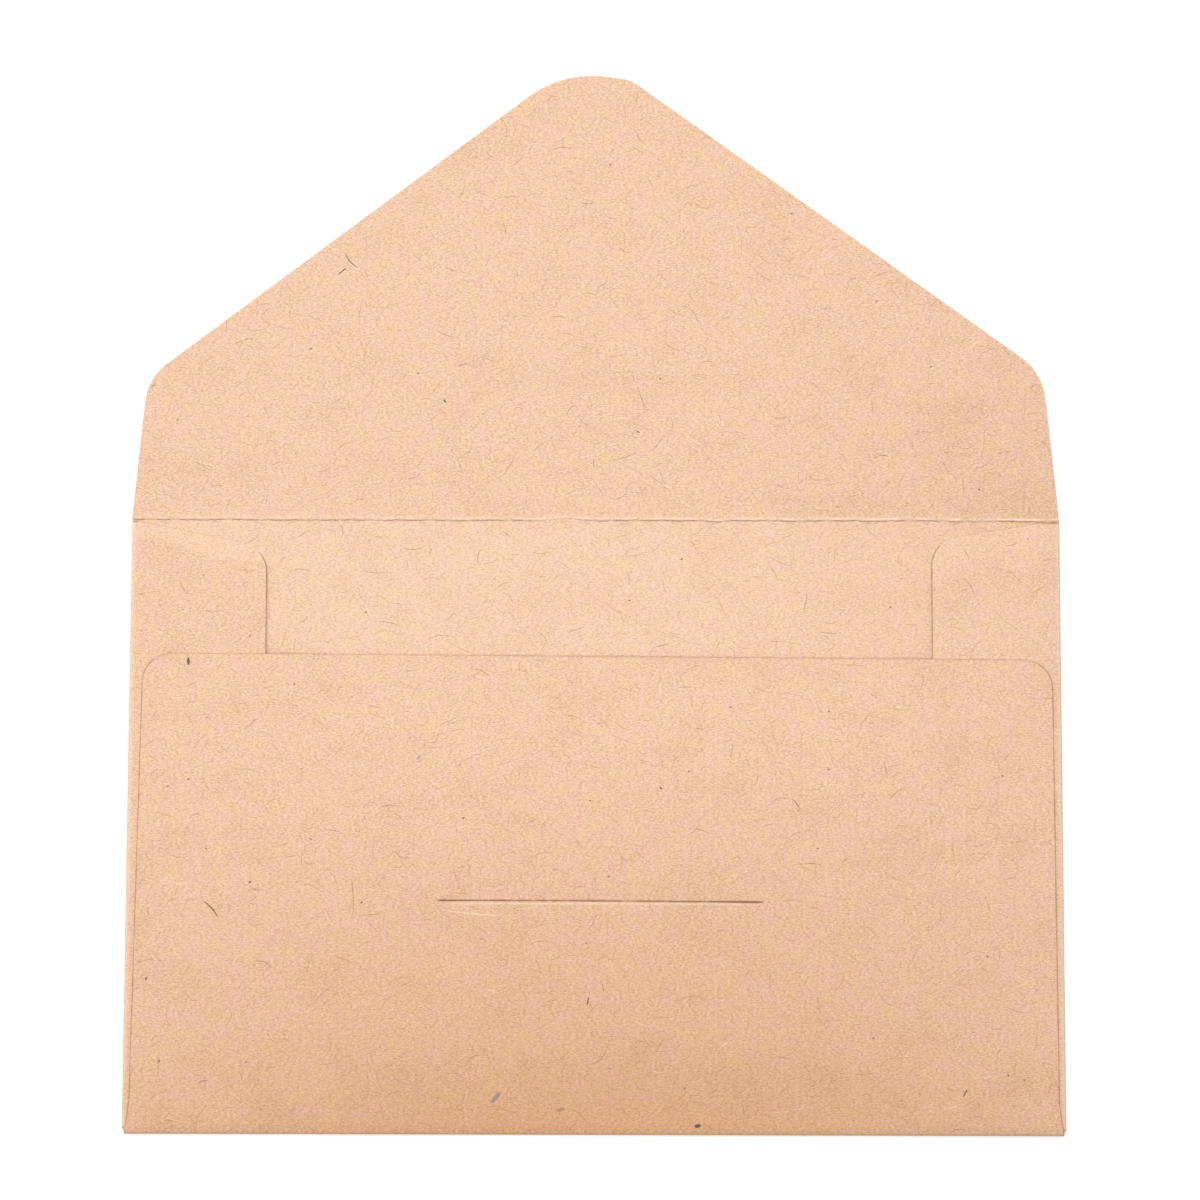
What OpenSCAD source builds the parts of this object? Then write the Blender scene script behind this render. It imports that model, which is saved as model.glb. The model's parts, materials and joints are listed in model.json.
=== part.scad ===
// Kraft envelope folded from one die-cut blank, lying on its front with the flap open.
// X runs across the envelope, Y from the bottom fold up to the flap's tip, Z up from the table.
// The origin is the middle of the bounding box, on the table.

/* [Paper] */
// Thickness of the kraft sheet
paper_t = 0.18; // [0.12:0.01:0.3]
// Inside radius of the fold down each side
side_fold_r = 0.2; // [0.1:0.01:0.5]
// How far the pasted sheets are pressed into each other at the seams
seam_press = 0.01; // [0.005:0.005:0.03]
// Sides that a full circle of a rounded corner or a fold would have
arc_sides = 96; // [48:8:160]

/* [Body] */
// Width across the two side folds
body_w = 160; // [130:1:220]
// Height from the bottom fold to the flap's crease
body_h = 105; // [90:1:150]

/* [Side flaps] */
// Reach of the left side flap from the side fold
side_flap_left = 23.4; // [12:0.1:40]
// Reach of the right side flap from the side fold
side_flap_right = 22.1; // [12:0.1:40]
// Slant of the left side flap's end, in degrees
side_slant_left = 11.4; // [4:0.1:20]
// Slant of the right side flap's end, in degrees
side_slant_right = 9.4; // [4:0.1:20]
// How far the left side flap's ends run square from the side fold before they slant
side_land_left = 1; // [0.5:0.1:6]
// How far the right side flap's ends run square from the side fold before they slant
side_land_right = 3; // [0.5:0.1:6]
// Radius of the side flaps' inner corners
side_corner_r = 5; // [2:0.5:8]
// Length of side fold left out below the crease, and at the bottom corners
fold_relief = 0.45; // [0.3:0.05:2]
// Height of the ears that the front panel keeps beside the crease, above the side folds
ear_h = 0.25; // [0.1:0.05:0.3]

/* [Back panel] */
// Height of the back panel's top edge at its left end
back_h_left = 81.8; // [62:0.1:86]
// Height of the back panel's top edge at its right end
back_h_right = 80.9; // [62:0.1:86]
// Inset of the back panel from the left side fold, at the top edge
back_inset_left = 2.3; // [1.6:0.1:5]
// Inset of the back panel from the right side fold, at the top edge
back_inset_right = 1.5; // [1.5:0.1:5]
// Inset of the back panel on both sides, above the flared foot
back_inset_low = 1.15; // [0.8:0.05:1.5]
// Inset of the back panel at the bottom fold
back_inset_foot = 0.45; // [0.4:0.05:0.7]
// Height over which the foot flares out
back_foot_h = 5.5; // [2:0.5:12]
// Radius of the back panel's top corners
back_corner_r = 5; // [2:0.5:12]

/* [Slit] */
// Length of the slit that takes the flap's tip
slit_l = 55.3; // [20:0.1:90]
// Width of the slit
slit_w = 0.25; // [0.1:0.05:1]
// Height of the slit above the bottom fold
slit_y = 39.5; // [20:0.1:55]
// How far the slit's middle lies right of the body's middle
slit_x = 1; // [-5:0.1:5]

/* [Flap] */
// Lift of the open flap from the table, in degrees
flap_lift = 3; // [1:0.5:40]
// Inside radius of the bend at the crease
crease_r = 0.3; // [0.1:0.05:0.6]
// Straight strip of paper on each side of the crease
crease_land = 0.5; // [0.3:0.1:1]
// Width of the pressed score line in the crease
score_w = 0.4; // [0.2:0.05:0.6]
// Depth of the score line
score_depth = 0.06; // [0.02:0.01:0.1]
// Height of the left shoulder above the crease
shoulder_h_left = 24.5; // [12:0.1:40]
// Height of the right shoulder above the crease
shoulder_h_right = 25.8; // [12:0.1:40]
// How far the flap has drawn in at the left shoulder
shoulder_in_left = 2.45; // [0.5:0.05:8]
// How far the flap has drawn in at the right shoulder
shoulder_in_right = 2.85; // [0.5:0.05:8]
// Radius of both shoulders
shoulder_r = 9.5; // [3:0.5:14]
// Height of the tip's left corner above the crease, before it is rounded
tip_h = 78.3; // [60:0.1:100]
// Drop from the tip's left corner to its right corner
tip_drop = 1.5; // [0.5:0.1:4]
// Width of the blunt tip between its two corners
tip_w = 11.7; // [11.2:0.1:20]
// How far the tip's middle lies right of the body's middle
tip_x = 0.05; // [-5:0.05:5]
// Radius of the tip's left corner
tip_r_left = 18.5; // [8:0.5:19]
// Radius of the tip's right corner
tip_r_right = 6; // [2:0.5:10]

/* [Hidden] */
$fn = arc_sides;

// Each fold is a half tube. The back panel's fold goes round the side flaps, so it is the wider one.
side_out_r = side_fold_r + paper_t;
side_stack_h = 2 * side_out_r;
bottom_fold_r = (side_stack_h - paper_t - seam_press) / 2;
bottom_out_r = bottom_fold_r + paper_t;
stack_h = 2 * bottom_out_r;
// Where the flat front panel ends and the folds begin
flat_x = body_w / 2 - side_out_r;
flat_y = bottom_out_r;
crease_out_r = crease_r + paper_t;
// Tools and overlaps that leave no trace on the paper
cut = 1;
lap = 0.3;

function unit(v) = v / norm(v);
function xy(corner) = [corner[0], corner[1]];

// Corner b of an outline, between its neighbours a and c, rounded by radius r
function half_angle(a, b, c) = acos(unit(a - b) * unit(c - b)) / 2;
function arc_middle(a, b, c, r) = b + unit(unit(a - b) + unit(c - b)) * r / sin(half_angle(a, b, c));
function corner_arc(a, b, c, r) =
    let (
        middle = arc_middle(a, b, c, r),
        leg = r / tan(half_angle(a, b, c)),
        spoke = b + unit(a - b) * leg - middle,
        start = atan2(spoke[1], spoke[0]),
        turn = (180 - 2 * half_angle(a, b, c)) * sign(cross(b - a, c - b)),
        steps = ceil(abs(turn) * arc_sides / 360)
    )
    [for (k = [0 : steps]) middle + r * [cos(start + turn * k / steps), sin(start + turn * k / steps)]];

// A die-cut outline from corners, each given as x, y and the radius that rounds it
function die_cut(corners) =
    let (n = len(corners))
    [
        for (i = [0 : n - 1])
            let (
                a = xy(corners[(i + n - 1) % n]),
                b = xy(corners[i]),
                c = xy(corners[(i + 1) % n]),
                r = corners[i][2]
            )
            each (r > 0 ? corner_arc(a, b, c, r) : [b])
    ];

// The flap's outline in its own plane, measured from the end of the bend: x, y, corner radius
flap_corners = [
    [-body_w / 2, 0, 0],
    [body_w / 2, 0, 0],
    [body_w / 2, crease_land, 0],
    [body_w / 2 - shoulder_in_right, shoulder_h_right, shoulder_r],
    [tip_x + tip_w / 2, tip_h - tip_drop, tip_r_right],
    [tip_x - tip_w / 2, tip_h, tip_r_left],
    [-body_w / 2 + shoulder_in_left, shoulder_h_left, shoulder_r],
    [-body_w / 2, crease_land, 0]
];
// The left tip arc holds the flap's highest point
flap_h = arc_middle(xy(flap_corners[4]), xy(flap_corners[5]), xy(flap_corners[6]), tip_r_left)[1] + tip_r_left;
total_y = body_h + crease_out_r * sin(flap_lift) + flap_h * cos(flap_lift);

// Section of a sheet that bends upwards: flat for lead, round by angle, then flat for tail.
// The bend's axis is at the origin and the sheet passes below it.
module fold_section(r, angle, lead, tail) {
    out_r = r + paper_t;
    fan = 2 * out_r;
    difference() {
        intersection() {
            circle(out_r);
            polygon(concat([[0, 0]], [for (k = [0 : 3]) fan * [sin(k * angle / 3), -cos(k * angle / 3)]]));
        }
        circle(r);
    }
    translate([-lead, -out_r]) square([lead, paper_t]);
    rotate(angle) translate([0, -out_r]) square([tail, paper_t]);
}

// The front panel, which lies on the table between the folds and ends at the crease
module front_panel() {
    linear_extrude(paper_t)
        polygon([
            [-flat_x, flat_y],
            [flat_x, flat_y],
            [flat_x, body_h - ear_h],
            [body_w / 2, body_h - ear_h],
            [body_w / 2, body_h],
            [-body_w / 2, body_h],
            [-body_w / 2, body_h - ear_h],
            [-flat_x, body_h - ear_h]
        ]);
}

// The right side's fold and flap. The flap's two ends run square over the land at the fold, and
// then slant in to its inner edge.
module side_flap(reach, slant, land) {
    land_x = body_w / 2 - land;
    inner_x = body_w / 2 - reach;
    top_y = body_h - fold_relief;
    foot_y = flat_y + fold_relief;
    drop = (reach - land) * tan(slant);
    intersection() {
        translate([flat_x, body_h, side_out_r])
            rotate([90, 0, 0])
                linear_extrude(body_h)
                    fold_section(side_fold_r, 180, lap, reach);
        translate([0, 0, -cut])
            linear_extrude(side_stack_h + 2 * cut)
                polygon(die_cut([
                    [body_w / 2 + cut, foot_y, 0],
                    [body_w / 2 + cut, top_y, 0],
                    [land_x, top_y, 0],
                    [inner_x, top_y - drop, side_corner_r],
                    [inner_x, foot_y + drop, side_corner_r],
                    [land_x, foot_y, 0]
                ]));
    }
}

// The bottom fold and the back panel, pasted down on the side flaps and slit for the flap's tip
module back_panel() {
    half_w = body_w / 2;
    difference() {
        intersection() {
            translate([half_w, flat_y, bottom_out_r])
                rotate([90, 0, -90])
                    linear_extrude(body_w)
                        fold_section(bottom_fold_r, 180, lap, max(back_h_left, back_h_right));
            translate([0, 0, -cut])
                linear_extrude(stack_h + 2 * cut)
                    polygon(die_cut([
                        [-half_w + back_inset_foot, -cut, 0],
                        [half_w - back_inset_foot, -cut, 0],
                        [half_w - back_inset_foot, flat_y, 0],
                        [half_w - back_inset_low, back_foot_h, 0],
                        [half_w - back_inset_right, back_h_right, back_corner_r],
                        [-half_w + back_inset_left, back_h_left, back_corner_r],
                        [-half_w + back_inset_low, back_foot_h, 0],
                        [-half_w + back_inset_foot, flat_y, 0]
                    ]));
        }
        translate([slit_x - slit_l / 2, slit_y - slit_w / 2, side_stack_h - cut / 2])
            cube([slit_l, slit_w, paper_t + cut]);
    }
}

// The bend at the crease and the closing flap, lifted a little by the paper's spring
module closing_flap() {
    translate([0, body_h, crease_out_r]) {
        translate([-body_w / 2, 0, 0])
            rotate([90, 0, 90])
                linear_extrude(body_w)
                    fold_section(crease_r, flap_lift, lap, lap);
        rotate([flap_lift, 0, 0])
            translate([0, 0, -crease_out_r])
                linear_extrude(paper_t)
                    polygon(die_cut(flap_corners));
    }
}

// The score line pressed into the crease before folding
module score_line() {
    translate([-body_w / 2 - cut, body_h, paper_t])
        rotate([90, 0, 90])
            linear_extrude(body_w + 2 * cut)
                polygon([
                    [-score_w / 2, cut],
                    [-score_w / 2, 0],
                    [0, -score_depth],
                    [score_w / 2, 0],
                    [score_w / 2, cut]
                ]);
}

module envelope() {
    color("burlywood")
        translate([0, -total_y / 2, 0])
            difference() {
                union() {
                    front_panel();
                    side_flap(side_flap_right, side_slant_right, side_land_right);
                    mirror([1, 0, 0]) side_flap(side_flap_left, side_slant_left, side_land_left);
                    back_panel();
                    closing_flap();
                }
                score_line();
            }
}

envelope();
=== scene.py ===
# %% [markdown]
# A kraft paper envelope lies on its front, with its flap open. The real one is a single
# sheet of brown paper: it is die-cut flat, then folded and pasted. This lesson builds it the
# same way. It draws the flat blank, fills it with an even net of triangles, folds that net
# with Geometry Nodes, and then gives the paper its fibres, flecks and soft relief.

# %% Load the measured frame
import json
import math
from functools import partialmethod

import bpy
import numpy as np
from mathutils import Euler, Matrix, Vector, geometry, kdtree

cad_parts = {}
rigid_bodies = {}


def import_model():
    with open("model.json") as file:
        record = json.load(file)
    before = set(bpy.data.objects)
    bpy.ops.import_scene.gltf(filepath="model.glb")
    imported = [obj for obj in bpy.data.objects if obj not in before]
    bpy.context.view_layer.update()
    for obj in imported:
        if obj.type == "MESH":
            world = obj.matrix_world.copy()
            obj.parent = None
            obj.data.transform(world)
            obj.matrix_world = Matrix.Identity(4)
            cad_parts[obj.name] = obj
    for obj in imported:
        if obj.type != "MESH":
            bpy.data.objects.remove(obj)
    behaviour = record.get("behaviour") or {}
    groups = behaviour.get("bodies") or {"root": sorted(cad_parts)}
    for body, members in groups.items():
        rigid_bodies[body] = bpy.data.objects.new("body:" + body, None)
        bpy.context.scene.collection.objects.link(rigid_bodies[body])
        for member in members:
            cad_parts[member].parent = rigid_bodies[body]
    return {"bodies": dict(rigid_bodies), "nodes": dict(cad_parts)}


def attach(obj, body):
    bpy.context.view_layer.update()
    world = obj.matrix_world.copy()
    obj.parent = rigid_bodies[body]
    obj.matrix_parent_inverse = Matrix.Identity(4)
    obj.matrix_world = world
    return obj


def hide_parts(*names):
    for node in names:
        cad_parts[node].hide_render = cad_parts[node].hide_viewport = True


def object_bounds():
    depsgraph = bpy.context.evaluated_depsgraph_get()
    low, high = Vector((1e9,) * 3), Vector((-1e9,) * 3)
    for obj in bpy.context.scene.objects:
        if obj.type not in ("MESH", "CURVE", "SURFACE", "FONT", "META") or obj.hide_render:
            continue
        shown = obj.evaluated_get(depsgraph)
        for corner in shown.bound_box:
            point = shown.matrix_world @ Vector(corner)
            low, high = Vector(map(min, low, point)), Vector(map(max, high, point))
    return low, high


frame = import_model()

cad_low, cad_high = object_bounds()
node_name = sorted(frame["nodes"])[0]
body_name = sorted(frame["bodies"])[0]
print("frame:", node_name, "on", body_name, "size in mm", [round(1000 * s, 2) for s in cad_high - cad_low])

# %% [markdown]
# Sizes are in millimetres, as a die maker writes them, and they are turned to metres only
# when a mesh or a node needs them. The blank is drawn with its origin in the middle of the
# bottom fold: u runs across, v runs up towards the flap's tip. The frame's own origin is
# the middle of the whole open envelope, so one shift along Y joins the two.

# %% Sizes of the sheet, its body and its folds
MM = 0.001
paper_t = 0.18

body_w = 160.0
body_h = 105.0
half_w = body_w / 2
shift_y = cad_low.y / MM

side_fold_r = 0.29
bottom_fold_r = 0.385
crease_r = 0.39
flap_lift = math.radians(3)
flat_x = half_w - side_fold_r - paper_t / 2
flat_y = bottom_fold_r + paper_t / 2

side_arc = math.pi * side_fold_r
bottom_arc = math.pi * bottom_fold_r
crease_arc = flap_lift * crease_r
print("flat front panel from", round(-flat_x, 2), "to", round(flat_x, 2), "and up from", round(flat_y, 3))

# %% Sizes of the panels
side_reach = {"left": 23.4, "right": 22.1}
side_slope = {"left": math.tan(math.radians(11.4)), "right": math.tan(math.radians(9.4))}
side_land = {"left": 1.0, "right": 3.0}
side_corner_r = 5.0
fold_relief = 0.45
ear_h = 0.25

back_top = {"left": 81.8, "right": 80.9}
back_inset = {"left": 2.3, "right": 1.5}
back_inset_low = 1.15
back_inset_foot = 0.45
back_foot_h = 5.5
back_corner_r = 5.0

slit_l = 55.3
slit_y = 39.5
slit_x = 1.0
slit_dip = 0.3
slit_dips_from = 0.4
slit_open = {"left": 0.22, "middle": 0.03, "right": 0.26}

crease_land = 0.5
shoulder_h = {"left": 24.5, "right": 25.8}
shoulder_in = {"left": 2.45, "right": 2.85}
shoulder_r = 9.5
tip_h = 78.298
tip_drop = 1.5
tip_w = 11.7
tip_x = 0.05
tip_r = {"left": 18.5, "right": 6.0}


def unfold_back(y):
    """Where a height on the back panel lies on the flat blank: below the bottom fold."""
    return 2 * flat_y - bottom_arc - y


def unfold_side(x):
    """Where a distance from the middle, on a side flap, lies on the flat blank."""
    return 2 * flat_x + side_arc - x


print("on the blank the back panel ends at", [round(unfold_back(top), 2) for top in back_top.values()])

# %% [markdown]
# The photograph looks almost straight down from 0.6 m with a long lens. The camera stands
# where a fit to the envelope's four corners puts it. The picture is a square.

# %% Camera
def add_object(name, data):
    """Puts an object with that data in the scene."""
    made = bpy.data.objects.new(name, data)
    bpy.context.scene.collection.objects.link(made)
    return made


camera_data = bpy.data.cameras.new("camera")
camera = add_object("camera", camera_data)
bpy.context.scene.camera = camera
picture_side = 1200
focal_in_pixels = 3500
place_in_mm = Vector((3.256, 25.598 + shift_y, 599.424))
turn_in_degrees = (6.2417, 0.2158, 0.1494)
camera_data.lens = camera_data.sensor_width * focal_in_pixels / picture_side
camera.location = place_in_mm * MM
camera.rotation_euler = Euler([math.radians(a) for a in turn_in_degrees])
print("camera at", tuple(round(c, 4) for c in camera.location), "lens", round(camera_data.lens, 2))

# %% [markdown]
# The picture is bright and nearly without shadows. Three lights share the work: a softbox
# overhead, a wide one far behind the flap's tip, and white walls all round. The wide one
# comes in low, so it picks out the paper's relief and lights every edge that faces the tip.
# The walls draw a fine dark line beside the other edges, because an edge hides part of them.
# The white table glows a little, so that it shows as white as the photograph's ground.

# %% Studio light
def softbox(name, at, towards, size, power):
    """A soft rectangular lamp that the camera doesn't see."""
    data = bpy.data.lights.new(name, "AREA")
    data.shape = "RECTANGLE"
    data.size, data.size_y = size
    data.energy = power
    lamp = add_object(name, data)
    lamp.location = at
    lamp.rotation_euler = (Vector(towards) - Vector(at)).to_track_quat("-Z", "Y").to_euler()
    lamp.visible_camera = False


softbox("overhead_softbox", (-0.03, -0.02, 0.36), (-0.01, -0.01, 0.0), (0.40, 0.30), 1.08)
softbox("low_softbox", (-0.22, 1.00, 0.66), (0.0, 0.0, 0.0), (1.10, 0.50), 10.0)
walls = bpy.data.worlds.new("white_walls")
walls.use_nodes = True
wall_light = walls.node_tree.nodes["Background"].inputs
wall_light["Color"].default_value = (1.0, 0.985, 0.97, 1)
wall_light["Strength"].default_value = 0.40
bpy.context.scene.world = walls
bpy.context.scene.view_settings.view_transform = "Standard"

# %% Table
table_half = 2.0
table_mesh = bpy.data.meshes.new("table")
table_corners = [(x * table_half, y * table_half, 0) for x, y in ((-1, -1), (1, -1), (1, 1), (-1, 1))]
table_mesh.from_pydata(table_corners, [], [(0, 1, 2, 3)])
white = bpy.data.materials.new("white_table")
white.use_nodes = True
coat = white.node_tree.nodes["Principled BSDF"].inputs
coat["Base Color"].default_value = (0.96, 0.96, 0.96, 1)
coat["Roughness"].default_value = 0.9
coat["Emission Color"].default_value = (1, 1, 1, 1)
coat["Emission Strength"].default_value = 0.1
table_mesh.materials.append(white)
table = add_object("table", table_mesh)
print("table:", 2 * table_half, "m square")

# %% [markdown]
# The die is one closed line. Each corner is given as u, v and the radius that rounds it, and
# the arcs are worked out. A curve could be traced by eye, but a list can be checked against
# the sizes. The line goes round the blank with the paper on its left: back panel, right side
# flap, closing flap, left side flap.

# %% Draw the die line
def rounded(before, corner, after, radius, step=0.6):
    """Points along the arc of that radius that rounds a corner."""
    before, corner, after = (np.array(p, float) for p in (before, corner, after))
    to_before = (before - corner) / np.linalg.norm(before - corner)
    to_after = (after - corner) / np.linalg.norm(after - corner)
    half_angle = math.acos(float(to_before @ to_after)) / 2
    inwards = (to_before + to_after) / np.linalg.norm(to_before + to_after)
    middle = corner + inwards * radius / math.sin(half_angle)
    spoke = corner + to_before * radius / math.tan(half_angle) - middle
    turn = math.pi - 2 * half_angle
    if to_before[0] * to_after[1] - to_before[1] * to_after[0] > 0:
        turn = -turn
    steps = max(3, math.ceil(abs(turn) * radius / step))
    angles = math.atan2(spoke[1], spoke[0]) + np.linspace(0, turn, steps + 1)
    return middle + radius * np.stack([np.cos(angles), np.sin(angles)], 1)


def die_line(corners):
    """The closed line through corners given as u, v and radius."""
    line = []
    for k, (u, v, radius) in enumerate(corners):
        before, after = corners[k - 1][:2], corners[(k + 1) % len(corners)][:2]
        line.extend(rounded(before, (u, v), after, radius) if radius else [np.array((u, v))])
    return np.array(line)


def side_corners(side):
    """One side flap on the right of the blank, from its foot up to the ear at the crease."""
    land_u = unfold_side(half_w - side_land[side])
    inner_u = unfold_side(half_w - side_reach[side])
    drop = (side_reach[side] - side_land[side]) * side_slope[side]
    foot, top = flat_y + fold_relief, body_h - fold_relief
    return [
        (half_w - back_inset_foot, flat_y - bottom_arc, 0),
        (half_w - back_inset_foot, flat_y, 0),
        (flat_x, flat_y, 0),
        (flat_x, foot, 0),
        (land_u, foot, 0),
        (inner_u, foot + drop, side_corner_r),
        (inner_u, top - drop, side_corner_r),
        (land_u, top, 0),
        (flat_x, top, 0),
        (flat_x, body_h - ear_h, 0),
        (half_w, body_h - ear_h, 0),
        (half_w, body_h, 0),
    ]


print("a side flap has", len(side_corners("right")), "corners")

# %% Cut the blank out
flap_v = body_h + crease_arc
blank_corners = [
    (-half_w + back_inset["left"], unfold_back(back_top["left"]), back_corner_r),
    (half_w - back_inset["right"], unfold_back(back_top["right"]), back_corner_r),
    (half_w - back_inset_low, unfold_back(back_foot_h), 0),
    *side_corners("right"),
    (half_w, flap_v + crease_land, 0),
    (half_w - shoulder_in["right"], flap_v + shoulder_h["right"], shoulder_r),
    (tip_x + tip_w / 2, flap_v + tip_h - tip_drop, tip_r["right"]),
    (tip_x - tip_w / 2, flap_v + tip_h, tip_r["left"]),
    (-half_w + shoulder_in["left"], flap_v + shoulder_h["left"], shoulder_r),
    (-half_w, flap_v + crease_land, 0),
    *[(-u, v, radius) for u, v, radius in reversed(side_corners("left"))],
    (-half_w + back_inset_low, unfold_back(back_foot_h), 0),
]
outline = die_line(blank_corners)
following = np.roll(outline, -1, 0)
blank_area = abs(np.sum(outline[:, 0] * following[:, 1] - outline[:, 1] * following[:, 0])) / 2
lowest, highest = outline.min(0), outline.max(0)
print("die line:", len(outline), "points,", np.round(highest - lowest, 1), "mm,", round(blank_area), "mm2")

# %% [markdown]
# The slit is a cut that has opened a little, more at its two ends, where the tip of the flap
# has been pushed through. So it is a long thin hole in the blank, and not a drawn line.

# %% Cut the slit
def slit_gap(along):
    """How wide the slit gapes, at a place from 0 at its left end to 1 at its right end."""
    ends = abs(2 * along - 1) ** 6
    end = slit_open["left"] if along < 0.5 else slit_open["right"]
    point = min(1.0, 14 * min(along, 1 - along)) ** 0.5
    wavers = 1 + 0.7 * math.sin(61 * along) * math.sin(23 * along + 1)
    return (slit_open["middle"] * wavers * (1 - ends) + end * ends) * point


slit_steps = np.linspace(0, 1, 93)
slit_v = unfold_back(slit_y)
slit_us = slit_x + slit_l * (slit_steps - 0.5)
slit_vs = slit_v + slit_dip * (slit_steps - slit_dips_from).clip(0)
lower_lip = [(u, v - slit_gap(s) / 2) for u, v, s in zip(slit_us, slit_vs, slit_steps)]
upper_lip = [(u, v + slit_gap(s) / 2) for u, v, s in zip(slit_us, slit_vs, slit_steps)][1:-1]
slit_line = np.array(lower_lip + upper_lip[::-1])
print("slit:", len(slit_line), "points, from", round(slit_us[0], 2), "to", round(slit_us[-1], 2))

# %% [markdown]
# A flat face can't bend, so the blank needs vertices where the paper bends: close rows along
# each fold and the crease, a fine patch round the slit, and an even staggered net elsewhere.
# Delaunay triangulation joins all these points and keeps the die line and the slit as edges.

# %% Rows along the folds
fold_steps = 10
side_rows = flat_x + side_arc * np.linspace(0, 1, fold_steps + 1)
bottom_rows = flat_y - bottom_arc * np.linspace(0, 1, fold_steps + 1)
beside_crease = np.array([0.15, 0.3, 0.45, 0.6, 0.8, 1.1, 1.6])
crease_rows = body_h + np.concatenate([-beside_crease[::-1], [0.0], beside_crease])
net_step = 1.7
row_step = 1.0
crease_step = 0.5
slit_step = 0.7
slit_patch = 4.0


def staggered(along_range, step, rows):
    """Points on parallel rows, each row half a step on from the last: (place along, row)."""
    found = []
    for k, row in enumerate(rows):
        places = np.arange(along_range[0] + (k % 2) * step / 2, along_range[1], step)
        found.append(np.stack([places, np.full(len(places), row)], 1))
    return np.concatenate(found)


side_points = staggered((0, body_h), row_step, side_rows)[:, ::-1]
bottom_points = staggered((-half_w, half_w), row_step, bottom_rows)
crease_points = staggered((-half_w, half_w), crease_step, crease_rows)
slit_rows = np.arange(slit_v - slit_patch, slit_v + slit_patch, slit_step)
slit_points = staggered((slit_us[0] - slit_patch, slit_us[-1] + slit_patch), slit_step, slit_rows)
net_rows = np.arange(lowest[1], highest[1], net_step * math.sqrt(3) / 2)
net_points = staggered((lowest[0], highest[0]), net_step, net_rows)
net_u, net_v = net_points.T
u_out = np.abs(net_u)
space = net_step / 2
beside_fold = (net_v > 0) & (net_v < body_h) & (u_out > flat_x - space) & (u_out < flat_x + side_arc + space)
below_fold = (net_v < flat_y + space) & (net_v > flat_y - bottom_arc - space)
at_crease = np.abs(net_v - body_h) < crease_rows[-1] - body_h + space
patch = slit_patch + slit_step / 2
at_slit = (np.abs(net_v - slit_v) < patch) & (np.abs(net_u - slit_x) < slit_l / 2 + patch)
net_points = net_points[~(beside_fold | below_fold | at_crease | at_slit)]
print("points: net", len(net_points), "folds", 2 * len(side_points) + len(bottom_points),
      "crease", len(crease_points), "slit", len(slit_points))

# %% Helpers that fill the blank
shortest_step = 0.02


def with_steps(line, step):
    """A closed line with extra points, at most a step apart and where it crosses a row."""
    found = []
    for start, end in zip(line, np.roll(line, -1, 0)):
        length = np.linalg.norm(end - start)
        parts = set(np.linspace(0, 1, math.ceil(length / step) + 1)[:-1])
        for axis, rows in ((0, side_rows), (0, -side_rows), (1, bottom_rows), (1, crease_rows)):
            travel = end[axis] - start[axis]
            if abs(travel) > 1e-6:
                parts.update(p for p in (rows - start[axis]) / travel if 0 < p < 1)
        parts = sorted(parts)
        kept = [p for k, p in enumerate(parts) if k == 0 or (p - parts[k - 1]) * length > shortest_step]
        found.extend(start + p * (end - start) for p in kept)
    return np.array(found)


def inside(points, line):
    """Which points lie inside a closed line, by counting how often a ray crosses it."""
    found = np.zeros(len(points), bool)
    for (u0, v0), (u1, v1) in zip(line, np.roll(line, -1, 0)):
        if v0 != v1:
            spans = (v0 > points[:, 1]) != (v1 > points[:, 1])
            found ^= spans & (points[:, 0] < u0 + (points[:, 1] - v0) * (u1 - u0) / (v1 - v0))
    return found


def search_tree(points):
    """Flat points, sorted so that the nearest to a place is found fast."""
    tree = kdtree.KDTree(len(points))
    for k, (u, v) in enumerate(points):
        tree.insert((u, v, 0), k)
    tree.balance()
    return tree


def gaps_to(tree, points):
    """How far each point is from the nearest one in a search tree."""
    return np.array([tree.find((u, v, 0))[2] for u, v in points])


print("helpers ready, no step under", shortest_step, "mm")

# %% Fill the blank with triangles
rim_step = 0.9
rim = with_steps(outline, rim_step)
cut_points = search_tree(np.concatenate([rim, slit_line]))
groups = [(net_points, 0.6), (side_points, 0.3), (side_points * (-1, 1), 0.3),
          (bottom_points, 0.3), (crease_points, 0.25), (slit_points, 0.35)]
filling = []
for points, gap in groups:
    points = points[inside(points, rim) & ~inside(points, slit_line)]
    filling.append(points[gaps_to(cut_points, points) > gap])
everything = np.concatenate([rim, slit_line, *filling])
rim_edges = [(k, (k + 1) % len(rim)) for k in range(len(rim))]
slit_edges = [(len(rim) + k, len(rim) + (k + 1) % len(slit_line)) for k in range(len(slit_line))]
keep_inside = 1
same_point = 1e-6
net, _, triangles, *_ = geometry.delaunay_2d_cdt(
    [Vector(p) for p in everything], rim_edges + slit_edges, [], keep_inside, same_point
)
net = np.array([tuple(p) for p in net])
triangles = np.array(triangles)
triangles = triangles[~inside(net[triangles].mean(1), slit_line)]
used, triangles = np.unique(triangles, return_inverse=True)
net, triangles = net[used], triangles.reshape(-1, 3)
edge_a, edge_b = net[triangles[:, 1]] - net[triangles[:, 0]], net[triangles[:, 2]] - net[triangles[:, 0]]
doubled = edge_a[:, 0] * edge_b[:, 1] - edge_a[:, 1] * edge_b[:, 0]
triangles[doubled < 0] = triangles[doubled < 0][:, ::-1]
print("net:", len(net), "points,", len(triangles), "triangles,", round(np.abs(doubled).sum() / 2), "mm2")

# %% [markdown]
# Paper has two faces and a cut edge all round, even if it is thin. So the blank is a slab:
# the net once as the inner face, once turned over as the outer face, and a narrow wall along
# every cut. Three attributes travel with it through the folding: where each point lies on
# the flat sheet and on which face, how far it is from the nearest cut, and which faces are
# cut edges.

# %% Give the blank its two faces and its cut edge
directed = np.concatenate([triangles[:, [0, 1]], triangles[:, [1, 2]], triangles[:, [2, 0]]])
below = len(net)


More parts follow.
